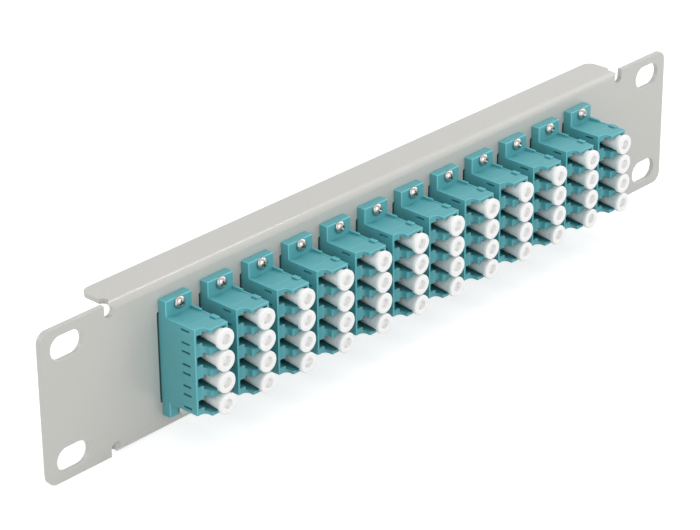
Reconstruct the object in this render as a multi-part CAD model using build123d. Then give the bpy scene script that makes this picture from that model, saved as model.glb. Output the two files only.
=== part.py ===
"""Fibre patch panel, 10 inch and one rack unit high, with twelve upright quad LC adapters.

Millimetres. X runs along the panel, Y goes back and Z goes up. The origin is the
centre of the panel's front face, so the adapters stand forward into negative Y.
"""

import os

from build123d import *

# Panel: one folded sheet
PANEL_LENGTH = 254.0
PANEL_HEIGHT = 43.7
SHEET = 1.5
BEND_INSIDE = 0.8
FLANGE_DEPTH = 11.4
FLANGE_CORNER = 3.0
EAR_LENGTH = 21.6
EAR_CORNER = 3.2
RELIEF_WIDTH = 3.2
FLANGE_END_GAP = 1.8

# Rack slots in the ears
SLOT_LENGTH = 10.6
SLOT_HEIGHT = 6.8
SLOT_FROM_END = 8.75
SLOT_FROM_EDGE = 5.975

# Row of adapters
ADAPTER_PITCH = 15.0
ROW_END_MARGIN = 13.0
CUTOUT_CLEARANCE_X = 0.6
CUTOUT_CLEARANCE_Z = 0.75
CUTOUT_CORNER = 0.5

# Adapter body
BODY_WIDTH = 9.3
BODY_REACH = 13.0
BODY_EDGE = 0.2
MOUNT_PLATE = 2.9
EAR_TIP = 1.6
STEP_WIDTH = 2.75
STEP_BACK = 2.65
SCALLOP_RADIUS = 1.45
BULKHEAD = 1.7

# Ports in the adapter, each an opening for one plug
PORT_COUNT = 4
PORT_PITCH = 6.25
PORT_HEIGHT = 4.8
PORT_WIDTH = 4.75
PORT_SIDE_WALL = 0.8
END_WALL = 0.75
THROAT_WIDTH = 1.5
THROAT_HEIGHT = 4.2
LATCH_HEIGHT = 2.4
LATCH_WALL = 0.55
AXIS_FROM_WALL = 2.4

# Windows in the latch side, two for each port
WINDOW_LENGTH = 3.0
WINDOW_HEIGHT = 0.6
WINDOW_SPACING = 3.7
WINDOW_FROM_FRONT = 2.0

# Relief on the ends of the adapter
RAMP_LENGTH = 7.6
RAMP_DEPTH = 0.35
RAMP_BORDER = 1.2
RIB_LENGTH = 3.6
RIB_WIDTH = 0.6
RIB_HEIGHT = 0.5
NUB_LENGTH = 2.4
NUB_WIDTH = 1.3
NUB_HEIGHT = 0.45
NUB_FROM_FRONT = 2.9
NUB_SLIT_WIDTH = 0.45
NUB_SLIT_DEPTH = 0.45
NUB_SLIT_MARGIN = 0.25

# Alignment sleeves and the tubes that hold them
SLEEVE_OUTER = 1.6
SLEEVE_INNER = 1.25
SLEEVE_LENGTH = 6.8
SLEEVE_SLIT = 0.3
SLEEVE_PLAY = 0.04
HOLDER_WALL = 0.38
HOLDER_TIP = 3.65
HOLDER_LIP_BORE = 1.4

# Dust caps
CAP_HEAD_GAP = 0.4
CAP_HEAD_THICKNESS = 1.3
CAP_HEAD_EDGE = 0.3
CAP_STANDOFF = 1.3
CAP_PLAY = 0.06
CAP_TIP_WALL = 0.4
CAP_OVERLAP = 1.5
CAP_WEB = 1.4
CAP_RECESS_DIAMETER = 2.9
CAP_RECESS_DEPTH = 1.5
CAP_RECESS_EDGE = 0.25

# Screws and nuts
SCREW_SPACING = 30.8
SCREW_DIAMETER = 2.0
SCREW_LENGTH = 8.0
SCREW_HEAD_DIAMETER = 3.2
SCREW_HEAD_HEIGHT = 1.3
SCREW_HEAD_RIM = 0.45
RECESS_SPAN = 1.9
RECESS_BLADE = 0.4
RECESS_DEPTH = 0.65
HOLE_PLAY = 0.3
THREAD_PLAY = 0.02
NUT_ACROSS_FLATS = 4.0
NUT_HEIGHT = 1.6

# Worked out from the sizes above
EAR_INNER = PANEL_LENGTH / 2 - EAR_LENGTH
FLANGE_END = EAR_INNER - FLANGE_END_GAP
BEND_OUTSIDE = BEND_INSIDE + SHEET
SLOT_X = PANEL_LENGTH / 2 - SLOT_FROM_END
SLOT_Z = PANEL_HEIGHT / 2 - SLOT_FROM_EDGE
ADAPTER_COUNT = int(2 * (EAR_INNER - ROW_END_MARGIN) / ADAPTER_PITCH)
BODY_HEIGHT = (PORT_COUNT - 1) * PORT_PITCH + PORT_HEIGHT + 2 * END_WALL
BODY_SIDE = BODY_WIDTH / 2
BODY_TOP = BODY_HEIGHT / 2
MOUNT_PLATE_HEIGHT = SCREW_SPACING + 2 * EAR_TIP
MIDDLE_Y = -MOUNT_PLATE / 2
FACE_Y = -MOUNT_PLATE - BODY_REACH
STEP_Y = FACE_Y + STEP_BACK
BULKHEAD_Y = MIDDLE_Y - BULKHEAD / 2
PORT_RIGHT = BODY_SIDE - PORT_SIDE_WALL
PORT_LEFT = PORT_RIGHT - PORT_WIDTH
THROAT_LEFT = PORT_LEFT - THROAT_WIDTH
AXIS_X = PORT_RIGHT - AXIS_FROM_WALL
HOLDER_BORE = SLEEVE_OUTER / 2 + SLEEVE_PLAY / 2
HOLDER_RADIUS = HOLDER_BORE + HOLDER_WALL
HOLDER_Y = MIDDLE_Y - SLEEVE_LENGTH / 2 - HOLDER_TIP
SLEEVE_STOP_Y = MIDDLE_Y - SLEEVE_LENGTH / 2 - SLEEVE_PLAY
HOLE_RADIUS = (SCREW_DIAMETER + HOLE_PLAY) / 2
PORT_HEIGHTS = [(row - (PORT_COUNT - 1) / 2) * PORT_PITCH for row in range(PORT_COUNT)]
ADAPTER_PLACES = [(column - (ADAPTER_COUNT - 1) / 2) * ADAPTER_PITCH for column in range(ADAPTER_COUNT)]
SCREW_HEIGHTS = [-SCREW_SPACING / 2, SCREW_SPACING / 2]


def block(x0, x1, y0, y1, z0, z1):
    """A box given by its lowest and highest corners."""
    centre = Pos((x0 + x1) / 2, (y0 + y1) / 2, (z0 + z1) / 2)
    return centre * Box(x1 - x0, y1 - y0, z1 - z0)


def plate(sketch, front, back):
    """A sketch drawn in X and Z, made thick from y = front to y = back."""
    return extrude(Plane.XZ.offset(-back) * sketch, back - front)


def rod(radius, front, back, x=0.0, z=0.0):
    """A round bar along Y."""
    return plate(Pos(x, z) * Circle(radius), front, back)


def mirrored_behind(shape):
    """The same shape on the other side of the adapter's middle plane."""
    return mirror(shape, Plane.XZ.offset(-MIDDLE_Y))


# Panel
def channel():
    """The part between the ears, with its two folded flanges."""
    top = PANEL_HEIGHT / 2
    outside = [(0, 0), (FLANGE_DEPTH, 0), (FLANGE_DEPTH, PANEL_HEIGHT), (0, PANEL_HEIGHT)]
    inside = [
        (SHEET, SHEET),
        (FLANGE_DEPTH + SHEET, SHEET),
        (FLANGE_DEPTH + SHEET, PANEL_HEIGHT - SHEET),
        (SHEET, PANEL_HEIGHT - SHEET),
    ]
    outer = make_face(Polyline(*outside, close=True))
    outer = fillet(outer.vertices().sort_by(Axis.X)[:2], BEND_OUTSIDE)
    inner = make_face(Polyline(*inside, close=True))
    inner = fillet(inner.vertices().sort_by(Axis.X)[:2], BEND_INSIDE)
    section = Pos(0, -top) * (outer - inner)
    body = extrude(Plane.YZ.offset(-FLANGE_END) * section, 2 * FLANGE_END)
    corners = body.edges().filter_by(Axis.Z).sort_by(Axis.Y)[-4:]
    return fillet(corners, FLANGE_CORNER)


def face_plate():
    """The flat of the panel with its ears, short of the bends between them."""
    ears = RectangleRounded(PANEL_LENGTH, PANEL_HEIGHT, EAR_CORNER)
    between = Rectangle(2 * EAR_INNER, PANEL_HEIGHT)
    web = Rectangle(2 * EAR_INNER, PANEL_HEIGHT - 2 * BEND_OUTSIDE)
    return plate(ears - between + web, 0, SHEET)


def bend_reliefs():
    """Round-ended notches where each flange meets its ear."""
    radius = RELIEF_WIDTH / 2
    middle = EAR_INNER - radius
    height = PANEL_HEIGHT / 2 - BEND_OUTSIDE
    cuts = []
    for side in (-1, 1):
        for end in (-1, 1):
            x = side * middle
            z = end * height
            cuts.append(rod(radius, -SHEET, BEND_OUTSIDE, x, z))
            deep = Pos(x, BEND_OUTSIDE, end * PANEL_HEIGHT / 2)
            cuts.append(deep * Cylinder(radius, 2 * BEND_OUTSIDE))
    return cuts


def panel_openings():
    """Rack slots, adapter cut-outs and screw holes."""
    slots = GridLocations(2 * SLOT_X, 2 * SLOT_Z, 2, 2) * SlotOverall(SLOT_LENGTH, SLOT_HEIGHT)
    width = BODY_WIDTH + 2 * CUTOUT_CLEARANCE_X
    height = BODY_HEIGHT + 2 * CUTOUT_CLEARANCE_Z
    outline = RectangleRounded(width, height, CUTOUT_CORNER)
    holes = []
    for x in ADAPTER_PLACES:
        holes.append(Pos(x, 0) * outline)
        for z in SCREW_HEIGHTS:
            holes.append(Pos(x, z) * Circle(HOLE_RADIUS))
    return plate(Sketch() + slots + holes, -SHEET, 2 * SHEET)


def panel():
    return channel() + face_plate() - bend_reliefs() - panel_openings()


# Adapter shells
def body_outline():
    """The body seen from above: the latch side is set back behind a scallop."""
    step_x = STEP_WIDTH - BODY_SIDE
    corners = [
        (-BODY_SIDE, MIDDLE_Y),
        (-BODY_SIDE, STEP_Y),
        (step_x, STEP_Y),
        (step_x, FACE_Y),
        (BODY_SIDE, FACE_Y),
        (BODY_SIDE, MIDDLE_Y),
    ]
    outline = make_face(Polyline(*corners, close=True))
    hollow = [v for v in outline.vertices() if abs(v.X - step_x) + abs(v.Y - STEP_Y) < BODY_EDGE]
    outline = fillet(hollow, SCALLOP_RADIUS)
    front = [v for v in outline.vertices() if v.Y < STEP_Y + BODY_EDGE and v.X < -BODY_SIDE + BODY_EDGE]
    front += [v for v in outline.vertices() if v.Y < FACE_Y + BODY_EDGE]
    return fillet(front, BODY_EDGE)


def port_cavity():
    """One plug opening: latch slot, throat and main room side by side."""
    latch_left = LATCH_WALL - BODY_SIDE
    latch = Pos((latch_left + PORT_LEFT) / 2, 0) * Rectangle(PORT_LEFT - latch_left, LATCH_HEIGHT)
    throat = Pos((THROAT_LEFT + PORT_RIGHT) / 2, 0) * Rectangle(PORT_RIGHT - THROAT_LEFT, THROAT_HEIGHT)
    main = Pos((PORT_LEFT + PORT_RIGHT) / 2, 0) * Rectangle(PORT_WIDTH, PORT_HEIGHT)
    return plate(latch + throat + main, FACE_Y - 1, BULKHEAD_Y)


def latch_windows(z):
    """Two narrow windows through the latch side of one port."""
    front = STEP_Y + WINDOW_FROM_FRONT
    cuts = []
    for side in (-1, 1):
        middle = z + side * WINDOW_SPACING / 2
        low = middle - WINDOW_HEIGHT / 2
        high = middle + WINDOW_HEIGHT / 2
        cuts.append(block(-BODY_SIDE - 1, THROAT_LEFT, front, front + WINDOW_LENGTH, low, high))
    return cuts


def end_relief(end):
    """Ramp, rib, nub and slit on the top (end = 1) or bottom (end = -1) of the body."""
    back = -MOUNT_PLATE
    ramp_points = [(back, BODY_TOP - RAMP_DEPTH), (back, BODY_TOP + 1), (back - RAMP_LENGTH, BODY_TOP + 1)]
    ramp_points.append((back - RAMP_LENGTH, BODY_TOP))
    left = RAMP_BORDER - BODY_SIDE
    right = BODY_SIDE - RIB_WIDTH
    profile = make_face(Polyline(*ramp_points, close=True))
    ramp = extrude(Plane.YZ.offset(left) * profile, right - left)
    rib = block(right, BODY_SIDE, back - RIB_LENGTH, back, BODY_TOP - RAMP_DEPTH, BODY_TOP + RIB_HEIGHT)
    front = FACE_Y + NUB_FROM_FRONT
    nub_left = BODY_SIDE - NUB_WIDTH
    nub = block(nub_left, BODY_SIDE, front, front + NUB_LENGTH, BODY_TOP - END_WALL, BODY_TOP + NUB_HEIGHT)
    slit_front = front + NUB_SLIT_MARGIN
    slit_back = front + NUB_LENGTH - NUB_SLIT_MARGIN
    slit_floor = BODY_TOP - NUB_SLIT_DEPTH
    slit = block(nub_left - NUB_SLIT_WIDTH, nub_left, slit_front, slit_back, slit_floor, BODY_TOP + 1)
    if end < 0:
        return [mirror(piece, Plane.XY) for piece in (ramp, rib, nub, slit)]
    return [ramp, rib, nub, slit]


def mount_plate():
    """The front half of the flange that the two screws clamp to the panel."""
    outline = RectangleRounded(BODY_WIDTH, MOUNT_PLATE_HEIGHT, BODY_EDGE)
    solid = plate(outline, -MOUNT_PLATE, MIDDLE_Y)
    front_edges = solid.faces().sort_by(Axis.Y)[0].edges()
    return chamfer(front_edges, BODY_EDGE)


def front_shell():
    """The front half of one adapter, moulded in one piece."""
    shell = extrude(body_outline(), BODY_HEIGHT / 2, both=True) + mount_plate()
    for end in (-1, 1):
        ramp, rib, nub, slit = end_relief(end)
        shell = shell - ramp + rib + nub - slit
    for z in PORT_HEIGHTS:
        shell = shell - (Pos(0, 0, z) * port_cavity())
        shell = shell - latch_windows(z)
    for z in PORT_HEIGHTS:
        shell = shell + rod(HOLDER_RADIUS, HOLDER_Y, BULKHEAD_Y + BULKHEAD / 4, AXIS_X, z)
        shell = shell - rod(HOLDER_BORE, SLEEVE_STOP_Y, MIDDLE_Y + 1, AXIS_X, z)
        shell = shell - rod(HOLDER_LIP_BORE / 2, HOLDER_Y - 1, MIDDLE_Y, AXIS_X, z)
    for z in SCREW_HEIGHTS:
        shell = shell - rod(HOLE_RADIUS, -MOUNT_PLATE - 1, 1, 0, z)
    return shell


# Small pieces
def sleeve():
    """A split ferrule sleeve, its slit towards the port's side wall."""
    half = SLEEVE_LENGTH / 2
    ring = rod(SLEEVE_OUTER / 2, MIDDLE_Y - half, MIDDLE_Y + half)
    ring = ring - rod(SLEEVE_INNER / 2, MIDDLE_Y - half - 1, MIDDLE_Y + half + 1)
    slit = block(0, SLEEVE_OUTER, MIDDLE_Y - half, MIDDLE_Y + half, -SLEEVE_SLIT / 2, SLEEVE_SLIT / 2)
    return Pos(AXIS_X, 0, 0) * (ring - slit)


def dust_cap():
    """A turned plug: a round head, a tapered barrel over the sleeve tube, and a recess."""
    mouth_radius = min(PORT_HEIGHT / 2, AXIS_FROM_WALL) - CAP_PLAY
    bore_radius = HOLDER_RADIUS + CAP_PLAY
    tip_radius = bore_radius + CAP_TIP_WALL
    tip_y = HOLDER_Y + CAP_OVERLAP
    head_back = FACE_Y - CAP_STANDOFF
    head_front = head_back - CAP_HEAD_THICKNESS
    taper = (mouth_radius - tip_radius) / (tip_y - FACE_Y)
    neck_radius = mouth_radius + taper * CAP_STANDOFF
    head_radius = (PORT_PITCH - CAP_HEAD_GAP) / 2
    recess_floor = head_front + CAP_RECESS_DEPTH
    outline = Polyline(
        (0, recess_floor + CAP_WEB),
        (0, recess_floor),
        (CAP_RECESS_DIAMETER / 2, recess_floor),
        (CAP_RECESS_DIAMETER / 2, head_front + CAP_RECESS_EDGE),
        (CAP_RECESS_DIAMETER / 2 + CAP_RECESS_EDGE, head_front),
        (head_radius - CAP_HEAD_EDGE, head_front),
        (head_radius, head_front + CAP_HEAD_EDGE),
        (head_radius, head_back),
        (neck_radius, head_back),
        (tip_radius, tip_y),
        (bore_radius, tip_y),
        (bore_radius, recess_floor + CAP_WEB),
        close=True,
    )
    return Pos(AXIS_X, 0, 0) * revolve(make_face(outline), Axis.Y)


def screw():
    """A small cross-recess screw with a domed head."""
    head_back = -MOUNT_PLATE
    head_front = head_back - SCREW_HEAD_HEIGHT
    head_radius = SCREW_HEAD_DIAMETER / 2
    rim_y = head_back - SCREW_HEAD_RIM
    end_y = head_back + SCREW_LENGTH
    dome = ThreePointArc(
        (head_radius, rim_y),
        (head_radius * 0.72, head_front + (SCREW_HEAD_HEIGHT - SCREW_HEAD_RIM) * 0.36),
        (0, head_front),
    )
    rest = Polyline(
        (0, head_front),
        (0, end_y),
        (SCREW_DIAMETER / 2, end_y),
        (SCREW_DIAMETER / 2, head_back),
        (head_radius, head_back),
        (head_radius, rim_y),
    )
    body = revolve(make_face([dome, rest]), Axis.Y)
    span = RECESS_SPAN / 2
    blade = RECESS_BLADE / 2
    floor = head_front + RECESS_DEPTH
    body = body - block(-span, span, head_front - 1, floor, -blade, blade)
    return body - block(-blade, blade, head_front - 1, floor, -span, span)


def nut():
    """A plain hexagon nut against the back of the sheet."""
    hexagon = RegularPolygon(NUT_ACROSS_FLATS / 2, 6, major_radius=False)
    bore = Circle(SCREW_DIAMETER / 2 + THREAD_PLAY)
    return plate(hexagon - bore, SHEET, SHEET + NUT_HEIGHT)


# Nodes
def placed(piece, places):
    """Copies of one piece, one for each (x, z) place, as separate solids."""
    return Compound(children=[Pos(x, 0, z) * piece for x, z in places])


def write(node, shape):
    export_step(shape, os.path.join("parts", node + ".step"))


def main():
    os.makedirs("parts", exist_ok=True)
    write("panel", panel())
    front = front_shell()
    rear = mirrored_behind(front)
    cap = dust_cap()
    rear_cap = mirrored_behind(cap)
    for number, x in enumerate(ADAPTER_PLACES, start=1):
        ports = [(x, z) for z in PORT_HEIGHTS]
        write(f"adapter_{number:02d}_front_shell", Pos(x, 0, 0) * front)
        write(f"adapter_{number:02d}_rear_shell", Pos(x, 0, 0) * rear)
        write(f"adapter_{number:02d}_front_dust_caps", placed(cap, ports))
        write(f"adapter_{number:02d}_rear_dust_caps", placed(rear_cap, ports))
    all_ports = [(x, z) for x in ADAPTER_PLACES for z in PORT_HEIGHTS]
    all_screws = [(x, z) for x in ADAPTER_PLACES for z in SCREW_HEIGHTS]
    write("alignment_sleeves", placed(sleeve(), all_ports))
    write("flange_screws", placed(screw(), all_screws))
    write("flange_nuts", placed(nut(), all_screws))


main()
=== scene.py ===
"""Finishes the 10 inch fibre patch panel and sets a small studio round it.

Metres. X runs along the panel, Y goes back and Z goes up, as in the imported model.
"""

import math

import bmesh
import bpy
from bpy.props import FloatProperty, FloatVectorProperty, IntProperty, PointerProperty
from mathutils import Matrix, Vector


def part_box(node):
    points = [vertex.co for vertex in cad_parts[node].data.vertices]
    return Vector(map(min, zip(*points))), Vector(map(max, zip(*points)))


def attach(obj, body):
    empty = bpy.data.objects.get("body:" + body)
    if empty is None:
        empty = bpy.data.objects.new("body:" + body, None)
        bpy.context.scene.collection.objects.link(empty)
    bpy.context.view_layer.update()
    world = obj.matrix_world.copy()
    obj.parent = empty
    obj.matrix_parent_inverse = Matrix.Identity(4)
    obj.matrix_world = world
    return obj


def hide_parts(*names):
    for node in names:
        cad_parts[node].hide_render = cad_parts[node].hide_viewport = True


bl_info = {
    "name": "Fibre Patch Panel",
    "version": (1, 0, 0),
    "blender": (4, 5, 0),
    "location": "3D View > Sidebar > Patch Panel",
    "description": "Finishes a 10 inch patch panel with quad adapters, caps and screws, and lights it",
    "category": "Object",
}

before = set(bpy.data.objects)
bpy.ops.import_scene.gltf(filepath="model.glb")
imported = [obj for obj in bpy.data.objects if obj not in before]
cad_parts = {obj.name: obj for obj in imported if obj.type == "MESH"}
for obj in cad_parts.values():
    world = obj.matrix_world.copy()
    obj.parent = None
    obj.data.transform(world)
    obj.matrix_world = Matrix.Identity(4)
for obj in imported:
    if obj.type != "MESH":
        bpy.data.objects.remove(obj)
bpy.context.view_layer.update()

MM = 0.001
SIDES = ("front", "rear")
SHELLS = {side: sorted(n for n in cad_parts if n.endswith(f"{side}_shell")) for side in SIDES}
CAPS = {side: sorted(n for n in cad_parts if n.endswith(f"{side}_dust_caps")) for side in SIDES}
FIRST_SHELL_BOX = {side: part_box(SHELLS[side][0]) for side in SIDES}
FIRST_CAPS_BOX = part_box(CAPS["front"][0])
PANEL_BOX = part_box("panel")
SCREW_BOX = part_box("flange_screws")
NUT_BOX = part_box("flange_nuts")

ADAPTER_COUNT = len(SHELLS["front"])
ADAPTER_PITCH = (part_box(SHELLS["front"][-1])[0].x - FIRST_SHELL_BOX["front"][0].x) / (ADAPTER_COUNT - 1)
MIDDLE_Y = FIRST_SHELL_BOX["front"][1].y
PORT_COUNT = 4

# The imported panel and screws
SHEET = 1.5 * MM
EAR_START = 105.45 * MM
FLANGE_START = 3.95 * MM
SCREW_HEAD = 3.2 * MM

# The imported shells: across and up from their middle, and away from the plane where the halves meet
BODY_TOP = 12.525 * MM
BODY_RIGHT = 4.65 * MM
BODY_BACK = 1.5 * MM
PLATE_FRONT = 1.6 * MM
STEP_FRONT = 11.7 * MM
INBOARD_LEFT = -4.3 * MM
INBOARD_RIGHT = 4.6 * MM
OUTER_SIDE = 4.4 * MM
OUTER_TOP = 12.3 * MM
RAMP_SIDE = -3.45 * MM
RAMP_END = 9.05 * MM
RAMP_FLOOR = 12.1 * MM
RIB_LOW = 12.9 * MM
RIB_HIGH = 13.1 * MM

# How edges and faces are told apart
WELD = 0.0005 * MM
SEAM_WELD = 0.002 * MM
LEVEL_REACH = 0.02 * MM
LEVEL_NORMAL = 0.995
ROUND_WIDTH = 0.3 * MM
FLAT_ANGLE = math.radians(0.3)
CREASE_LEAST = math.radians(1)
CREASE_MOST = math.radians(4)
CREASE_LENGTH = 10 * MM
CREASE_FLAT = 5 * MM * MM
CORNER_ANGLE = math.radians(28)

# Fineness of the meshes
ROUNDING_SEGMENTS = 3
CAP_ARC_POINTS = 4
HEAD_ARC_POINTS = 7
HEAD_SEGMENTS = 48
SHANK_SEGMENTS = 16
RINGS_PER_THREAD = 5.0
NUT_SEGMENTS = 48

# Painted highlight and painted shade on the shells
LINE_HALF_WIDTH = 0.12 * MM
PAINTED_LINE_HIGHLIGHT = 0.5
PAINTED_GAP_SHADE = 0.25


def srgb(red, green, blue):
    """A colour in the 0 to 255 of a screen, as the linear colour that Blender uses."""
    return tuple(
        part / 12.92 if part <= 0.04045 else ((part + 0.055) / 1.055) ** 2.4
        for part in (red / 255, green / 255, blue / 255)
    )


# Sizes and colours that a user may change
def length(name, description, default):
    """A length in millimetres, shown in the scene's own units."""
    return FloatProperty(
        name=name,
        description=description,
        default=default * MM,
        min=0.0,
        precision=5,
        unit="LENGTH",
        subtype="DISTANCE",
    )


def colour(name, description, default):
    return FloatVectorProperty(
        name=name, description=description, default=default, min=0.0, max=1.0, size=3, subtype="COLOR"
    )


def angle(name, description, degrees):
    return FloatProperty(name=name, description=description, default=math.radians(degrees), subtype="ANGLE")


class PanelFinish(bpy.types.PropertyGroup):
    """The folded sheet and its powder coat."""

    coat: colour("Coat", "Colour of the powder coat", srgb(192, 191, 186))
    edge_round: length("Edge round", "Radius that the coat leaves on a cut edge", 0.25)
    grain: length("Grain", "Width of the fine texture in the coat", 0.55)
    ripple: length("Ripple", "Width of the slow waves in the coat", 2.6)


class ShellFinish(bpy.types.PropertyGroup):
    """The moulded halves of the adapters."""

    plastic: colour("Plastic", "Colour of the moulded plastic", srgb(89, 167, 174))
    edge_round: length("Edge round", "Radius on the outer edges of the moulding", 0.14)
    # Painted highlight: the plastic's colour is made lighter on its rounded edges, where light would catch
    # them.
    painted_edge_highlight: FloatProperty(
        name="Edge light",
        description="How much lighter the plastic looks on its rounded edges",
        default=1.45,
        min=0.0,
    )
    grain: length("Grain", "Width of the eroded texture of the mould", 0.16)


class DustCapSizes(bpy.types.PropertyGroup):
    """The soft white caps in the ports."""

    plastic: colour("Plastic", "Colour of the soft plastic", srgb(246, 246, 245))
    head: length("Head", "Diameter of the round head", 5.85)
    head_thickness: length("Head thickness", "Thickness of the head", 1.3)
    barrel: length("Barrel", "Diameter of the barrel under the head", 4.88)
    tip: length("Tip", "Diameter of the barrel at its inner end", 3.28)
    bore: length("Bore", "Diameter of the bore that takes the sleeve tube", 2.52)
    recess: length("Recess", "Diameter of the blind hole in the head", 2.9)
    recess_depth: length("Recess depth", "Depth of the blind hole in the head", 1.5)
    web: length("Web", "Thickness between the blind hole and the bore", 1.4)
    rounding: length("Rounding", "Radius on the rims of the head", 0.28)
    segments: IntProperty(name="Segments", description="Faces round the cap", default=48, min=12)


class ScrewSizes(bpy.types.PropertyGroup):
    """The cross-recess screws that clamp the adapters to the sheet."""

    plating: colour("Plating", "Colour of the bright nickel", srgb(188, 184, 180))
    head: length("Head", "Diameter of the domed head", 3.6)
    head_height: length("Head height", "Height of the domed head", 1.3)
    rim: length("Rim", "Height of the straight rim under the dome", 0.35)
    shank: length("Shank", "Diameter over the thread", 2.0)
    thread_pitch: length("Thread pitch", "Distance from one thread to the next", 0.4)
    thread_depth: length("Thread depth", "Depth of the thread", 0.2)
    recess_span: length("Recess span", "Width of the cross at the top of the head", 2.0)
    recess_blade: length("Recess blade", "Width of each arm of the cross", 0.46)
    recess_depth: length("Recess depth", "Depth of the cross", 0.8)


class NutSizes(bpy.types.PropertyGroup):
    """The hexagon nuts behind the sheet."""

    plating: colour("Plating", "Colour of the zinc plating", srgb(196, 200, 204))
    across_flats: length("Across flats", "Width of the hexagon", 4.0)
    bore: length("Bore", "Diameter of the threaded hole", 2.04)
    corner: length("Corner", "Height of the chamfer on the six corners", 0.3)
    countersink: length("Countersink", "Width of the chamfer round the hole", 0.14)


class SleeveFinish(bpy.types.PropertyGroup):
    """The split alignment sleeves."""

    ceramic: colour("Ceramic", "Colour of the polished ceramic", srgb(236, 232, 222))


class StudioSettings(bpy.types.PropertyGroup):
    """Camera, lamps and floor."""

    azimuth: angle("Azimuth", "Turn of the camera round the panel", 46.8466)
    elevation: angle("Elevation", "Height of the camera above the horizon", 26.2054)
    roll: angle("Roll", "Turn of the camera about its own axis", -0.5502)
    target: FloatVectorProperty(
        name="Target",
        description="Point on the camera's axis",
        default=(-15.205 * MM, 0.0, 0.279 * MM),
        size=3,
        unit="LENGTH",
        subtype="TRANSLATION",
    )
    distance: length("Distance", "From the camera to its target", 739.36)
    lens: FloatProperty(
        name="Lens", description="Focal length on a 36 mm sensor", default=137.931, unit="CAMERA"
    )
    ambient: FloatProperty(name="Ambient", description="Strength of the light from all round", default=0.62)


class PatchPanelSettings(bpy.types.PropertyGroup):
    """All sizes and colours of the finished panel."""

    panel: PointerProperty(type=PanelFinish, name="Panel")
    shells: PointerProperty(type=ShellFinish, name="Adapter shells")
    caps: PointerProperty(type=DustCapSizes, name="Dust caps")
    screws: PointerProperty(type=ScrewSizes, name="Screws")
    nuts: PointerProperty(type=NutSizes, name="Nuts")
    sleeves: PointerProperty(type=SleeveFinish, name="Sleeves")
    studio: PointerProperty(type=StudioSettings, name="Studio")


# Node trees
class Wire:
    """An output socket whose arithmetic adds Math nodes to its tree."""

    def __init__(self, graph, socket):
        self.graph = graph
        self.socket = socket

    def __getitem__(self, identifier):
        """Another output of the same node."""
        return Wire(self.graph, find(self.socket.node.outputs, identifier))

    def __add__(self, other):
        return self.graph.maths("ADD", self, other)

    def __radd__(self, other):
        return self.graph.maths("ADD", other, self)

    def __sub__(self, other):
        return self.graph.maths("SUBTRACT", self, other)

    def __rsub__(self, other):
        return self.graph.maths("SUBTRACT", other, self)

    def __mul__(self, other):
        return self.graph.maths("MULTIPLY", self, other)

    def __rmul__(self, other):
        return self.graph.maths("MULTIPLY", other, self)

    def __truediv__(self, other):
        return self.graph.maths("DIVIDE", self, other)

    def __rtruediv__(self, other):
        return self.graph.maths("DIVIDE", other, self)

    def __mod__(self, other):
        return self.graph.maths("FLOORED_MODULO", self, other)

    def __rmod__(self, other):
        return self.graph.maths("FLOORED_MODULO", other, self)

    def __abs__(self):
        return self.graph.maths("ABSOLUTE", self)


def find(sockets, key):
    """A socket by its place or by its identifier."""
    if isinstance(key, int):
        return sockets[key]
    return next(socket for socket in sockets if socket.identifier == key)


class Graph:
    """Writes a node tree: a node's settings first, then the values or links of its sockets."""

    def __init__(self, tree):
        self.tree = tree
        tree.nodes.clear()

    def node(self, kind, settings=None, sockets=None):
        """A new node, given as the wire of its first output. Its setting items is a count."""
        made = self.tree.nodes.new(kind)
        for name, value in (settings or {}).items():
            if name == "items":
                for _ in range(value - len(made.index_switch_items)):
                    made.index_switch_items.new()
            else:
                setattr(made, name, value)
        for key, value in (sockets or {}).items():
            self.feed(find(made.inputs, key), value)
        return Wire(self, made.outputs[0]) if len(made.outputs) else None

    def feed(self, socket, value):
        """Links a wire, or each wire of a list, to a socket, or else sets the socket's value."""
        if isinstance(value, list):
            for each in value:
                self.feed(socket, each)
        elif isinstance(value, Wire):
            self.tree.links.new(value.socket, socket)
        elif socket.type == "RGBA" and len(value) == 3:
            socket.default_value = (*value, 1.0)
        else:
            socket.default_value = value

    def maths(self, operation, first, second=0.0):
        return self.node("ShaderNodeMath", {"operation": operation}, {0: first, 1: second})

    def between(self, value, low, high):
        """1 where a value lies between two others, else 0."""
        return self.maths("GREATER_THAN", value, low) * self.maths("LESS_THAN", value, high)

    def vector(self, x, y, z):
        return self.node("ShaderNodeCombineXYZ", {}, {"X": x, "Y": y, "Z": z})

    def parts(self, vector):
        """The X, Y and Z of a vector, each picked from the result by its name."""
        return self.node("ShaderNodeSeparateXYZ", {}, {"Vector": vector})


# Geometry Nodes
SOCKET_KINDS = {
    float: "NodeSocketFloat",
    int: "NodeSocketInt",
    Vector: "NodeSocketVector",
    bpy.types.Material: "NodeSocketMaterial",
}


def shape_tree(name, values):
    """An empty Geometry Nodes tree with one named input for each value, its graph and its inputs."""
    tree = bpy.data.node_groups.new(name, "GeometryNodeTree")
    graph = Graph(tree)
    for label, value in values.items():
        tree.interface.new_socket(label, in_out="INPUT", socket_type=SOCKET_KINDS[type(value)])
    tree.interface.new_socket("Geometry", in_out="OUTPUT", socket_type="NodeSocketGeometry")
    group = tree.nodes.new("NodeGroupInput")
    inputs = {socket.name: Wire(graph, socket) for socket in group.outputs if socket.name in values}
    return tree, graph, inputs


def end_tree(graph, geometry, material):
    """Realizes the instances, gives them their material and closes the tree."""
    real = graph.node("GeometryNodeRealizeInstances", {}, {"Geometry": geometry})
    dressed = graph.node("GeometryNodeSetMaterial", {}, {"Geometry": real, "Material": material})
    graph.node("NodeGroupOutput", {}, {0: dressed})


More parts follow.
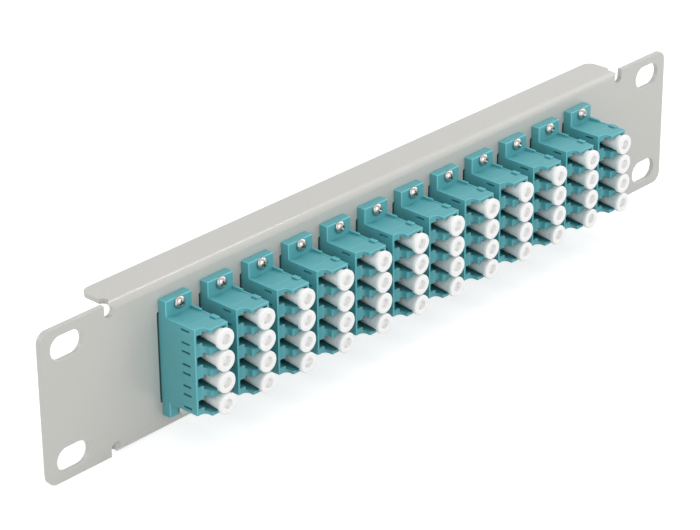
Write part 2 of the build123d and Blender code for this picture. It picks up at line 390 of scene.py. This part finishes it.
def grow(name, tree, values):
    """Runs a tree with these values and keeps the result as a plain mesh object."""
    grown = new_object(name, bpy.data.meshes.new(name))
    modifier = grown.modifiers.new("shape", "NODES")
    modifier.node_group = tree
    for item in tree.interface.items_tree:
        if item.in_out == "INPUT":
            modifier[item.identifier] = values[item.name]
    evaluated = grown.evaluated_get(bpy.context.evaluated_depsgraph_get())
    mesh = bpy.data.meshes.new_from_object(evaluated)
    grown.modifiers.clear()
    grown.data = mesh
    mesh.name = name
    return grown


def by_index(graph, kind, choices):
    """For each point of a geometry, the choice that stands at the point's index."""
    settings = {"data_type": kind, "items": len(choices)}
    sockets = dict(enumerate([graph.node("GeometryNodeInputIndex"), *choices]))
    return graph.node("GeometryNodeIndexSwitch", settings, sockets)


def outline(graph, corners, radii, arc_points):
    """A curve through (radius, distance) corners, each rounded by its own radius."""
    line = graph.node("GeometryNodeMeshLine", {}, {"Count": len(corners)})
    place = by_index(graph, "VECTOR", [graph.vector(across, along, 0.0) for across, along in corners])
    bent = graph.node("GeometryNodeSetPosition", {}, {"Geometry": line, "Position": place})
    curve = graph.node("GeometryNodeMeshToCurve", {}, {"Mesh": bent})
    radius = by_index(graph, "FLOAT", radii)
    return graph.node(
        "GeometryNodeFilletCurve",
        {"mode": "POLY"},
        {"Curve": curve, "Count": arc_points, "Radius": radius, "Limit Radius": True},
    )


def turned(graph, curve, segments, swell=None):
    """The solid that a curve of (radius, distance) points sweeps about the Y axis.

    The curve runs from the axis outwards, towards greater distances and back to the axis.
    swell, where given, is a function of radius, distance and turn whose result adds to the radius.
    """
    rings = graph.node("GeometryNodeAttributeDomainSize", {"component": "CURVE"}, {"Geometry": curve})
    grid = graph.node("GeometryNodeMeshGrid", {}, {"Vertices X": segments + 1, "Vertices Y": rings})
    index = graph.node("GeometryNodeInputIndex")
    column = graph.maths("FLOOR", (index + 0.5) / rings)
    position = graph.node("GeometryNodeInputPosition")
    point = graph.node(
        "GeometryNodeSampleIndex",
        {"data_type": "FLOAT_VECTOR"},
        {"Geometry": curve, "Value": position, "Index": index - column * rings},
    )
    parts = graph.parts(point)
    radius = parts["X"]
    turn = column / segments
    if swell:
        radius = radius + swell(parts["X"], parts["Y"], turn)
    turn = turn * math.tau
    x = radius * graph.maths("COSINE", turn)
    z = radius * graph.maths("SINE", turn)
    place = graph.vector(x, parts["Y"], z)
    bent = graph.node("GeometryNodeSetPosition", {}, {"Geometry": grid, "Position": place})
    joined = graph.node("GeometryNodeMergeByDistance", {}, {"Geometry": bent, "Distance": SEAM_WELD})
    return graph.node("GeometryNodeFlipFaces", {}, {"Mesh": joined})


def set_out(graph, piece, size, turn):
    """Instances of a piece in columns along X and rows along Z about a centre, each turned by turn."""
    count = size["Columns"] * size["Rows"]
    line = graph.node("GeometryNodeMeshLine", {}, {"Count": count})
    index = graph.node("GeometryNodeInputIndex")
    row = graph.maths("FLOOR", (index + 0.5) / size["Columns"])
    column = index - row * size["Columns"]
    x = (column - (size["Columns"] - 1.0) / 2.0) * size["Column Pitch"]
    z = (row - (size["Rows"] - 1.0) / 2.0) * size["Row Pitch"]
    centre = graph.parts(size["Centre"])
    place = graph.vector(centre["X"] + x, centre["Y"], centre["Z"] + z)
    points = graph.node("GeometryNodeSetPosition", {}, {"Geometry": line, "Position": place})
    rotation = graph.node("FunctionNodeEulerToRotation", {}, {"Euler": turn})
    return graph.node(
        "GeometryNodeInstanceOnPoints", {}, {"Points": points, "Instance": piece, "Rotation": rotation}
    )


# Meshes
def new_object(name, mesh):
    made = bpy.data.objects.new(name, mesh)
    bpy.context.scene.collection.objects.link(made)
    return made


def smooth(mesh, degrees=32.0):
    """Smooth shading, with the edges that bend by more than this kept sharp."""
    mesh.shade_smooth()
    mesh.set_sharp_from_angle(angle=math.radians(degrees))


def merged_copy(node):
    """A CAD node's mesh as a bmesh, with its corners joined and its flat areas whole."""
    build = bmesh.new()
    build.from_mesh(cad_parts[node].data)
    bmesh.ops.remove_doubles(build, verts=build.verts, dist=WELD)
    bmesh.ops.dissolve_limit(
        build, angle_limit=FLAT_ANGLE, verts=build.verts, edges=build.edges, delimit=set()
    )
    return build


def is_crease(edge):
    """A faint bend between two wide flats, such as the end of a ramp."""
    faint = edge.is_manifold and CREASE_LEAST < edge.calc_face_angle() < CREASE_MOST
    wide = faint and min(face.calc_area() for face in edge.link_faces) > CREASE_FLAT
    return wide and edge.calc_length() < CREASE_LENGTH


def rounded(name, build, radius, wanted):
    """An object from a bmesh, with a rounding on each corner edge that wanted() picks."""
    weight = build.edges.layers.float.new("bevel_weight_edge")
    for edge in build.edges:
        if edge.is_manifold and edge.calc_face_angle() > CORNER_ANGLE and wanted(edge):
            edge[weight] = 1.0
    build.edges.index_update()
    creases = [edge.index for edge in build.edges if is_crease(edge)]
    mesh = bpy.data.meshes.new(name)
    build.to_mesh(mesh)
    build.free()
    for stale in ("custom_normal", "sharp_edge", "sharp_face"):
        if stale in mesh.attributes:
            mesh.attributes.remove(mesh.attributes[stale])
    smooth(mesh)
    for index in creases:
        mesh.edges[index].use_edge_sharp = True
    piece = new_object(name, mesh)
    bevel = piece.modifiers.new("rounding", "BEVEL")
    bevel.limit_method = "WEIGHT"
    bevel.width = radius
    bevel.segments = ROUNDING_SEGMENTS
    bevel.harden_normals = True
    bevel.use_clamp_overlap = False
    bevel.loop_slide = False
    graph = bpy.context.evaluated_depsgraph_get()
    finished = bpy.data.meshes.new_from_object(
        piece.evaluated_get(graph), preserve_all_data_layers=True, depsgraph=graph
    )
    piece.modifiers.clear()
    piece.data = finished
    return piece


def shell_centre(side):
    """X of the middle of the first shell on a side."""
    return sum(FIRST_SHELL_BOX[side], Vector()).x / 2


def mark_rounds(mesh, centre):
    """Stores 1 on a shell's outer rounds and chamfers, which are narrow slanting faces, and 0 elsewhere.
    This marks where the plastic gets its painted highlight.
    """
    marks = []
    for face in mesh.polygons:
        corners = [mesh.vertices[index].co for index in face.vertices]
        longest = max((first - second).length for first, second in zip(corners, corners[1:] + corners[:1]))
        slanting = max(abs(part) for part in face.normal) < LEVEL_NORMAL
        outer = abs(face.center.x - centre) > OUTER_SIDE or abs(face.center.z) > OUTER_TOP
        marks.append(float(slanting and outer and face.area < ROUND_WIDTH * longest))
    mesh.attributes.new("round", "FLOAT", "FACE").data.foreach_set("value", marks)


def keep(piece, material, slot, *nodes):
    """Gives a finished piece its material, ties it to the body and hides the CAD nodes that it stands for.
    """
    piece.data.materials.clear()
    piece.data.materials.append(material)
    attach(piece, "root")
    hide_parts(*nodes)


# Materials
def new_material(name):
    """An empty material, its graph and the wire of its object coordinates."""
    material = bpy.data.materials.new(name)
    material.use_nodes = True
    graph = Graph(material.node_tree)
    place = graph.node("ShaderNodeTexCoord")["Object"]
    return material, graph, place


def noise(graph, place, width, detail=2.0, roughness=0.5):
    """Noise whose blotches are about width across."""
    sockets = {"Vector": place, "Scale": 1.0 / width, "Detail": detail, "Roughness": roughness}
    return graph.node("ShaderNodeTexNoise", {}, sockets)


def tinted(graph, factor, first, second):
    """A colour between two others."""
    mix = graph.node(
        "ShaderNodeMix",
        {"data_type": "RGBA"},
        {"Factor_Float": factor, "A_Color": first, "B_Color": second},
    )
    return mix["Result_Color"]


def scaled(shade, factor):
    """A lighter or darker shade of a colour."""
    return tuple(min(1.0, part * factor) for part in shade)


def mottled(graph, factor, base, low, high):
    """A colour that wavers between low and high times its own lightness."""
    return tinted(graph, factor, scaled(base, low), scaled(base, high))


def bumped(graph, height, depth):
    """A normal from a height between 0 and 1 that stands depth metres high."""
    return graph.node("ShaderNodeBump", {}, {"Height": height, "Distance": depth, "Strength": 1.0})


def surface(graph, sockets):
    """The Principled shader and the material's output."""
    shader = graph.node("ShaderNodeBsdfPrincipled", {}, sockets)
    graph.node("ShaderNodeOutputMaterial", {"target": "ALL"}, {"Surface": shader})


def powder_coat(finish):
    """Fine textured powder coat: small pimples on slow waves."""
    material, graph, place = new_material("powder_coat")
    fine = noise(graph, place, finish.grain, roughness=0.55)
    slow = noise(graph, place, finish.ripple, detail=1.0)
    cloud = noise(graph, place, 30.0 * MM, detail=1.0)
    shade = mottled(graph, fine * 0.5 + cloud * 0.5, tuple(finish.coat), 0.955, 1.04)
    normal = bumped(graph, fine * 0.75 + slow * 0.5, 0.055 * MM)
    surface(
        graph,
        {
            "Base Color": shade,
            "Roughness": 0.36 + fine * 0.16,
            "Specular IOR Level": 0.5,
            "Coat Weight": fine * 0.9,
            "Coat Roughness": 0.18,
            "Normal": normal,
        },
    )
    return material


def ramp_lines(graph, parts):
    """1 on the thin outline of the shallow ramp on each adapter's top and bottom, else 0. This marks where
    the plastic gets a painted highlight.
    """
    ahead = MIDDLE_Y - parts["Y"]
    left = shell_centre("front") - ADAPTER_PITCH / 2
    column = (parts["X"] - left) % ADAPTER_PITCH - ADAPTER_PITCH / 2
    across = column * graph.maths("SIGN", ahead)
    depth = abs(ahead)
    near_side = graph.between(across, RAMP_SIDE - LINE_HALF_WIDTH, RAMP_SIDE + LINE_HALF_WIDTH)
    near_end = graph.between(depth, RAMP_END - LINE_HALF_WIDTH, RAMP_END + LINE_HALF_WIDTH)
    side = near_side * graph.between(depth, PLATE_FRONT, RAMP_END)
    end = near_end * graph.between(across, RAMP_SIDE, BODY_RIGHT)
    level = graph.between(abs(parts["Z"]), RAMP_FLOOR, BODY_TOP + LEVEL_REACH)
    return graph.maths("MAXIMUM", side, end) * level


def moulded_plastic(finish):
    """Aqua plastic with its mould's faint texture, with a painted highlight on its edges and painted shade
    within the cut-outs.
    """
    material, graph, place = new_material("adapter_plastic")
    fine = noise(graph, place, finish.grain, roughness=0.6)
    cloud = noise(graph, place, 6.0 * MM)
    base = tuple(finish.plastic)
    shade = mottled(graph, cloud, base, 0.95, 1.05)
    parts = graph.parts(place)
    rounds = graph.node("ShaderNodeAttribute", {"attribute_name": "round"})["Fac"]
    # Painted highlight: lighter plastic on the marked rounds and chamfers, and at half strength on the
    # ramp's outline.
    edge = graph.maths("MAXIMUM", rounds, ramp_lines(graph, parts) * PAINTED_LINE_HIGHLIGHT)
    shade = tinted(graph, edge, shade, scaled(base, finish.painted_edge_highlight))
    # Painted shade: the plastic within the sheet's cut-out is made much darker, where the narrow gap lies
    # in shadow.
    painted_gap_shade_mask = graph.between(parts["Y"], 0.0, SHEET)
    shade = tinted(graph, painted_gap_shade_mask, shade, scaled(base, PAINTED_GAP_SHADE))
    normal = bumped(graph, fine, 0.006 * MM)
    surface(
        graph,
        {"Base Color": shade, "Roughness": 0.34 + fine * 0.14, "Specular IOR Level": 0.5, "Normal": normal},
    )
    return material


def soft_plastic(sizes):
    """Milky white plastic that lets a little light in."""
    material, graph, place = new_material("cap_plastic")
    fine = noise(graph, place, 0.3 * MM)
    cloud = noise(graph, place, 3.0 * MM)
    shade = mottled(graph, cloud, tuple(sizes.plastic), 0.97, 1.02)
    normal = bumped(graph, fine, 0.005 * MM)
    surface(
        graph,
        {
            "Base Color": shade,
            "Roughness": 0.36 + fine * 0.1,
            "Subsurface Weight": 0.2,
            "Subsurface Radius": (1.0, 0.95, 0.95),
            "Subsurface Scale": 0.4 * MM,
            "Specular IOR Level": 0.4,
            "Normal": normal,
        },
    )
    return material


def plated_metal(name, shade, roughness):
    """Bright plating with fine scratches from tumbling."""
    material, graph, place = new_material(name)
    scratch = noise(graph, place, 0.12 * MM, detail=3.0, roughness=0.65)
    cloud = noise(graph, place, 1.1 * MM)
    normal = bumped(graph, scratch, 0.003 * MM)
    tone = mottled(graph, cloud, shade, 0.9, 1.0)
    surface(
        graph,
        {"Base Color": tone, "Metallic": 1.0, "Roughness": roughness + scratch * 0.12, "Normal": normal},
    )
    return material


def polished_ceramic(finish):
    """Ground and polished ceramic, a little warm."""
    material, graph, place = new_material("sleeve_ceramic")
    fine = noise(graph, place, 0.1 * MM)
    shade = mottled(graph, fine, tuple(finish.ceramic), 0.96, 1.0)
    surface(graph, {"Base Color": shade, "Roughness": 0.12 + fine * 0.08, "Specular IOR Level": 0.8})
    return material


# Operators
class PATCH_OT_panel(bpy.types.Operator):
    """Rounds the cut edges of the folded sheet and gives it its powder coat"""

    bl_idname = "patch_panel.panel"
    bl_label = "Panel"

    def execute(self, context):
        finish = context.scene.patch_panel.panel
        piece = rounded("coated_panel", merged_copy("panel"), finish.edge_round, self.is_open)
        keep(piece, powder_coat(finish), "powder_coat", "panel")
        return {"FINISHED"}

    def is_open(self, edge):
        """On an ear or on a flange's free edge, clear of the notches between them."""
        middle = (edge.verts[0].co + edge.verts[1].co) / 2
        return abs(middle.x) > EAR_START or middle.y > FLANGE_START


class PATCH_OT_shells(bpy.types.Operator):
    """Rounds the outer edges of the adapter halves and gives them their plastic"""

    bl_idname = "patch_panel.shells"
    bl_label = "Adapter shells"

    def execute(self, context):
        finish = context.scene.patch_panel.shells
        plastic = moulded_plastic(finish)
        for side in SIDES:
            names = SHELLS[side]
            build = merged_copy(names[0])
            centre = shell_centre(side)
            first = rounded(
                names[0] + "_moulded", build, finish.edge_round, lambda edge: self.is_rim(edge, centre)
            )
            mark_rounds(first.data, centre)
            keep(first, plastic, "adapter_plastic", names[0])
            for column, name in enumerate(names[1:], start=1):
                mesh = first.data.copy()
                mesh.transform(Matrix.Translation((column * ADAPTER_PITCH, 0.0, 0.0)))
                keep(new_object(name + "_moulded", mesh), plastic, "adapter_plastic", name)
        return {"FINISHED"}

    def is_rim(self, edge, centre):
        """On the outline of the body's top or bottom, or on top of its rib or nub."""
        along = [abs(vertex.co.y - MIDDLE_Y) for vertex in edge.verts]
        across = [vertex.co.x - centre for vertex in edge.verts]
        height = [abs(vertex.co.z) for vertex in edge.verts]
        if max(along) < BODY_BACK or abs(height[0] - height[1]) > LEVEL_REACH:
            return False
        inboard = INBOARD_LEFT < min(across) < INBOARD_RIGHT and max(along) < STEP_FRONT
        on_outline = abs(height[0] - BODY_TOP) < LEVEL_REACH and not inboard
        return on_outline or RIB_LOW < height[0] < RIB_HIGH


class PATCH_OT_caps(bpy.types.Operator):
    """Turns the dust caps and sets them in the ports, four to each adapter and side"""

    bl_idname = "patch_panel.caps"
    bl_label = "Dust caps"

    def execute(self, context):
        sizes = context.scene.patch_panel.caps
        plastic = soft_plastic(sizes)
        low, high = FIRST_CAPS_BOX
        values = {
            "Head": sizes.head / 2,
            "Head Thickness": sizes.head_thickness,
            "Barrel": sizes.barrel / 2,
            "Tip": sizes.tip / 2,
            "Bore": sizes.bore / 2,
            "Recess": sizes.recess / 2,
            "Recess Depth": sizes.recess_depth,
            "Web": sizes.web,
            "Rounding": sizes.rounding,
            "Front": MIDDLE_Y - low.y,
            "Tip Place": MIDDLE_Y - high.y,
            "Segments": sizes.segments,
            "Columns": 1,
            "Column Pitch": ADAPTER_PITCH,
            "Rows": PORT_COUNT,
            "Row Pitch": (high.z - low.z - sizes.head) / (PORT_COUNT - 1),
            "Centre": Vector(),
            "Half Turns": 0,
            "Material": plastic,
        }
        tree = self.tree(values)
        for half_turns, side in enumerate(SIDES):
            for name in CAPS[side]:
                low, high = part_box(name)
                values["Centre"] = Vector(((low.x + high.x) / 2, MIDDLE_Y, (low.z + high.z) / 2))
                values["Half Turns"] = half_turns
                piece = grow(name + "_turned", tree, values)
                smooth(piece.data)
                keep(piece, plastic, "cap_plastic", name)
        return {"FINISHED"}

    def tree(self, values):
        """Distances are measured forward from the adapter's middle plane."""
        tree, graph, size = shape_tree("Dust Caps", values)
        front = size["Front"]
        floor = front - size["Recess Depth"]
        back = front - size["Head Thickness"]
        web = floor - size["Web"]
        corners = [
            (0.0, web),
            (size["Bore"], web),
            (size["Bore"], size["Tip Place"]),
            (size["Tip"], size["Tip Place"]),
            (size["Barrel"], back),
            (size["Head"], back),
            (size["Head"], front),
            (size["Recess"], front),
            (size["Recess"], floor),
            (0.0, floor),
        ]
        # How far each corner is rounded, as a share of the rounding that the user sets
        shares = (0.0, 0.0, 0.3, 0.4, 0.7, 1.0, 1.1, 0.45, 0.6, 0.0)
        radii = [size["Rounding"] * share for share in shares]
        curve = outline(graph, corners, radii, CAP_ARC_POINTS)
        solid = turned(graph, curve, size["Segments"])
        forward = graph.node("GeometryNodeTransform", {}, {"Geometry": solid, "Scale": (1.0, -1.0, 1.0)})
        closed = graph.node("GeometryNodeFlipFaces", {}, {"Mesh": forward})
        turn = graph.vector(0.0, 0.0, size["Half Turns"] * math.pi)
        end_tree(graph, set_out(graph, closed, size, turn), size["Material"])
        return tree


class PATCH_OT_screws(bpy.types.Operator):
    """Makes the cross-recess screws, two to each adapter"""

    bl_idname = "patch_panel.screws"
    bl_label = "Screws"

    def execute(self, context):
        sizes = context.scene.patch_panel.screws
        low, high = SCREW_BOX
        values = {
            "Head": sizes.head / 2,
            "Head Height": sizes.head_height,
            "Rim": sizes.rim,
            "Shank": sizes.shank / 2,
            "Length": high.y - low.y,
            "Pitch": sizes.thread_pitch,
            "Depth": sizes.thread_depth,
            "Recess Span": sizes.recess_span,
            "Recess Blade": sizes.recess_blade,
            "Recess Depth": sizes.recess_depth,
            "Columns": ADAPTER_COUNT,
            "Column Pitch": ADAPTER_PITCH,
            "Rows": 2,
            "Row Pitch": high.z - low.z - SCREW_HEAD,
            "Centre": Vector((0.0, low.y, 0.0)),
            "Seed": 7,
            "Material": plated_metal("nickel", tuple(sizes.plating), 0.16),
        }
        piece = grow("bright_screws", self.tree(values), values)
        smooth(piece.data, degrees=28.0)
        keep(piece, values["Material"], "nickel", "flange_screws")
        return {"FINISHED"}

    def tree(self, values):
        """Distances are measured back from the top of the head."""
        tree, graph, size = shape_tree("Cross Recess Screws", values)
        head = self.head(graph, size)
        shank = self.shank(graph, size)
        screw = graph.node("GeometryNodeJoinGeometry", {}, {0: [head, shank]})
        random = graph.node(
            "FunctionNodeRandomValue",
            {"data_type": "FLOAT"},
            {"Min_001": 0.0, "Max_001": math.tau, "Seed": size["Seed"]},
        )
        turn = graph.vector(0.0, random["Value_001"], 0.0)
        end_tree(graph, set_out(graph, screw, size, turn), size["Material"])
        return tree

    def head(self, graph, size):
        """A domed head with the cross cut into it."""
        dome = size["Head Height"] - size["Rim"]
        # The dome's corners and how far each is rounded, as shares of its radius and height
        corners = [
            (0.0, 0.0),
            (size["Head"] * 0.62, dome * 0.16),
            (size["Head"], dome * 0.72),
            (size["Head"], size["Head Height"]),
            (0.0, size["Head Height"]),
        ]
        radii = [0.0, size["Head"] * 0.9, size["Head"] * 0.3, size["Head"] * 0.06, 0.0]
        body = turned(graph, outline(graph, corners, radii, HEAD_ARC_POINTS), HEAD_SEGMENTS)
        arms = [self.blade(graph, size, turn) for turn in (0.0, math.pi / 2)]
        return graph.node(
            "GeometryNodeMeshBoolean", {"operation": "DIFFERENCE", "solver": "EXACT"}, {0: body, 1: arms}
        )

    def blade(self, graph, size, turn):
        """One arm across the head, which starts a little above it and narrows and shortens to its floor."""
        cube = graph.node("GeometryNodeMeshCube", {}, {"Size": (1.0, 1.0, 1.0)})
        parts = graph.parts(graph.node("GeometryNodeInputPosition"))
        deep = parts["Y"] + 0.5
        narrow = 1.0 - deep * 0.38
        short = 1.12 - deep * 0.62
        above = 0.25
        place = graph.vector(
            parts["X"] * size["Recess Span"] * short,
            deep * size["Recess Depth"] * (1.0 + above) - size["Recess Depth"] * above,
            parts["Z"] * size["Recess Blade"] * narrow,
        )
        wedge = graph.node("GeometryNodeSetPosition", {}, {"Geometry": cube, "Position": place})
        spin = graph.node("FunctionNodeEulerToRotation", {}, {"Euler": (0.0, turn, 0.0)})
        return graph.node("GeometryNodeTransform", {}, {"Geometry": wedge, "Rotation": spin})

    def shank(self, graph, size):
        """The threaded shank, from just inside the head to its chamfered end."""
        overlap = 0.1 * MM
        start = size["Head Height"] - overlap
        reach = size["Length"] - start
        rings = graph.maths("CEIL", reach / size["Pitch"] * RINGS_PER_THREAD)
        line = graph.node("GeometryNodeMeshLine", {}, {"Count": rings + 2.0})
        index = graph.node("GeometryNodeInputIndex")
        clamped = {"operation": "DIVIDE", "use_clamp": True}
        share = graph.node("ShaderNodeMath", clamped, {0: index - 1.0, 1: rings - 1.0})
        along = start + reach * share
        chamfer = size["Length"] - along + size["Shank"] - size["Depth"] * 1.5
        wall = graph.maths("MINIMUM", size["Shank"], chamfer)
        off_axis = graph.between(index, 0.5, rings + 0.5)
        place = graph.vector(wall * off_axis, along, 0.0)
        bent = graph.node("GeometryNodeSetPosition", {}, {"Geometry": line, "Position": place})
        curve = graph.node("GeometryNodeMeshToCurve", {}, {"Mesh": bent})
        return turned(graph, curve, SHANK_SEGMENTS, lambda *point: self.thread(graph, size, *point))

    def thread(self, graph, size, radius, along, turn):
        """How far the surface lies inside the thread's crest, and nothing on the axis."""
        wave = abs((along / size["Pitch"] + turn) % 1.0 - 0.5)
        return graph.maths("GREATER_THAN", radius, size["Depth"]) * wave * size["Depth"] * -2.0


class PATCH_OT_nuts(bpy.types.Operator):
    """Makes the hexagon nuts behind the sheet, one for each screw"""

    bl_idname = "patch_panel.nuts"
    bl_label = "Nuts"

    def execute(self, context):
        sizes = context.scene.patch_panel.nuts
        low, high = NUT_BOX
        values = {
            "Flat Radius": sizes.across_flats / 2,
            "Bore": sizes.bore / 2,
            "Countersink": sizes.countersink,
            "Corner": sizes.corner,
            "Height": high.y - low.y,
            "Columns": ADAPTER_COUNT,
            "Column Pitch": ADAPTER_PITCH,
            "Rows": 2,
            "Row Pitch": high.z - low.z - sizes.across_flats,
            "Centre": Vector((0.0, low.y, 0.0)),
            "Material": plated_metal("zinc", tuple(sizes.plating), 0.3),
        }
        piece = grow("plated_nuts", self.tree(values), values)
        smooth(piece.data, degrees=24.0)
        keep(piece, values["Material"], "zinc", "flange_nuts")
        return {"FINISHED"}

    def tree(self, values):
        """A drilled disc with chamfered rims, pressed in to the hexagon's six flats."""
        tree, graph, size = shape_tree("Hexagon Nuts", values)
        height = size["Height"]
        sink = size["Countersink"]
        mouth = size["Bore"] + sink
        face = size["Flat Radius"] * 0.95
        widen = size["Flat Radius"] * (2.0 / math.sqrt(3.0)) - face
        steps = [(face + widen * share, size["Corner"] * share) for share in (0.0, 0.3, 0.6, 1.0)]
        corners = [(size["Bore"], sink), (mouth, 0.0), *steps]
        corners += [(radius, height - along) for radius, along in reversed(corners)]
        corners.append(corners[0])
        disc = outline(graph, corners, [0.0] * len(corners), 1)
        nut = turned(graph, disc, NUT_SEGMENTS, lambda *point: self.press(graph, size, *point))
        end_tree(graph, set_out(graph, nut, size, (0.0, 0.0, 0.0)), size["Material"])
        return tree

    def press(self, graph, size, radius, along, turn):
        """How far a point of the disc has to go in to lie within the hexagon, the same all along it."""
        off_middle = ((turn * 6.0) % 1.0 - 0.5) * (math.pi / 3)
        flat = size["Flat Radius"] / graph.maths("COSINE", off_middle)
        return graph.maths("MINIMUM", flat - radius, 0.0)


class PATCH_OT_sleeves(bpy.types.Operator):
    """Gives the alignment sleeves their polished ceramic"""

    bl_idname = "patch_panel.sleeves"
    bl_label = "Alignment sleeves"

    def execute(self, context):
        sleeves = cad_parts["alignment_sleeves"]
        sleeves.data.materials.clear()
        sleeves.data.materials.append(polished_ceramic(context.scene.patch_panel.sleeves))
        return {"FINISHED"}


class PATCH_OT_studio(bpy.types.Operator):
    """Sets the floor, the lamps and the camera"""

    bl_idname = "patch_panel.studio"
    bl_label = "Studio"

    def execute(self, context):
        studio = context.scene.patch_panel.studio
        context.scene.view_settings.view_transform = "Standard"
        self.world(context.scene, studio)
        self.floor()
        self.lamp("top", (0.0, 0.0, 1.2), size=0.6, power=0.9)
        self.lamp("front", (0.0, -1.15, 0.25), size=0.6, power=3.1)
        self.lamp("left", (-0.9, -0.45, 0.35), size=0.6, power=1.5)
        self.lamp("right", (1.0, -0.3, 0.5), size=0.6, power=2.3)
        self.lamp("bend", (0.66, -0.1, 1.02), size=0.24, power=2.1)
        self.lamp("back", (-0.8, 0.5, 0.6), size=0.6, power=2.3)
        self.camera(context.scene, studio)
        return {"FINISHED"}

    def seen(self, graph):
        """1 for the rays that should meet the plain white background, else 0."""
        path = graph.node("ShaderNodeLightPath")
        mirrored = graph.maths("MAXIMUM", path["Is Glossy Ray"], path["Is Transmission Ray"])
        return graph.maths("MAXIMUM", path["Is Camera Ray"], mirrored)

    def world(self, scene, studio):
        scene.world = bpy.data.worlds.new("studio")
        scene.world.use_nodes = True
        graph = Graph(scene.world.node_tree)
        seen = self.seen(graph)
        strength = seen + (1.0 - seen) * studio.ambient
        light = graph.node("ShaderNodeBackground", {}, {"Color": (1.0, 1.0, 1.0), "Strength": strength})
        graph.node("ShaderNodeOutputWorld", {}, {"Surface": light})

    def floor(self):
        """A pale plane that shows white where it is lit and keeps the panel's shadow."""
        reach = 3.0
        level = PANEL_BOX[0].z
        mesh = bpy.data.meshes.new("floor")
        corners = [(x * reach, y * reach, level) for x, y in ((-1, -1), (1, -1), (1, 1), (-1, 1))]
        mesh.from_pydata(corners, [], [(0, 1, 2, 3)])
        floor = new_object("floor", mesh)
        material = bpy.data.materials.new("floor")
        material.use_nodes = True
        graph = Graph(material.node_tree)
        matt = graph.node("ShaderNodeBsdfDiffuse", {}, {"Color": (0.72, 0.72, 0.72)})
        shaded = graph.node("ShaderNodeBsdfDiffuse", {}, {"Color": (0.5, 0.5, 0.5)})
        glow = graph.node("ShaderNodeEmission", {}, {"Color": (1.0, 1.0, 1.0), "Strength": 0.72})
        white = graph.node("ShaderNodeAddShader", {}, {0: shaded, 1: glow})
        look = graph.node("ShaderNodeMixShader", {}, {0: self.seen(graph), 1: matt, 2: white})
        graph.node("ShaderNodeOutputMaterial", {"target": "ALL"}, {"Surface": look})
        mesh.materials.append(material)

    def lamp(self, name, place, size, power):
        """A square soft lamp that faces the panel."""
        data = bpy.data.lights.new(name, "AREA")
        data.shape = "SQUARE"
        data.size = size
        data.energy = power
        lamp = new_object(name, data)
        lamp.location = place
        lamp.rotation_euler = (-Vector(place)).to_track_quat("-Z", "Y").to_euler()

    def camera(self, scene, studio):
        data = bpy.data.cameras.new("camera")
        data.lens = studio.lens
        data.sensor_width = 36.0
        data.clip_start = 0.01
        data.clip_end = 10.0
        camera = new_object("camera", data)
        turn, rise = studio.azimuth, studio.elevation
        forward = Vector(
            (math.sin(turn) * math.cos(rise), math.cos(turn) * math.cos(rise), -math.sin(rise))
        )
        right = Vector((math.cos(turn), -math.sin(turn), 0.0))
        level = Matrix((right, right.cross(forward), -forward)).transposed()
        camera.rotation_euler = (level @ Matrix.Rotation(studio.roll, 3, "Z")).to_euler()
        camera.location = Vector(studio.target) - forward * studio.distance
        scene.camera = camera


STEPS = {
    "panel": PATCH_OT_panel,
    "shells": PATCH_OT_shells,
    "caps": PATCH_OT_caps,
    "screws": PATCH_OT_screws,
    "nuts": PATCH_OT_nuts,
    "sleeves": PATCH_OT_sleeves,
    "studio": PATCH_OT_studio,
}


class PATCH_PT_sidebar(bpy.types.Panel):
    """Lists the steps that finish the patch panel"""

    bl_label = "Patch Panel"
    bl_idname = "PATCH_PT_sidebar"
    bl_space_type = "VIEW_3D"
    bl_region_type = "UI"
    bl_category = "Patch Panel"

    def draw(self, context):
        settings = context.scene.patch_panel
        for group, operator in STEPS.items():
            box = self.layout.box()
            box.operator(operator.bl_idname)
            values = getattr(settings, group)
            for name in values.__annotations__:
                box.prop(values, name)


CLASSES = (
    PanelFinish,
    ShellFinish,
    DustCapSizes,
    ScrewSizes,
    NutSizes,
    SleeveFinish,
    StudioSettings,
    PatchPanelSettings,
    *STEPS.values(),
    PATCH_PT_sidebar,
)


def register():
    for each in CLASSES:
        bpy.utils.register_class(each)
    bpy.types.Scene.patch_panel = PointerProperty(type=PatchPanelSettings)


def unregister():
    del bpy.types.Scene.patch_panel
    for each in reversed(CLASSES):
        bpy.utils.unregister_class(each)


def main():
    register()
    bpy.ops.patch_panel.panel()
    bpy.ops.patch_panel.shells()
    bpy.ops.patch_panel.caps()
    bpy.ops.patch_panel.screws()
    bpy.ops.patch_panel.nuts()
    bpy.ops.patch_panel.sleeves()
    bpy.ops.patch_panel.studio()


if __name__ == "__main__":
    main()
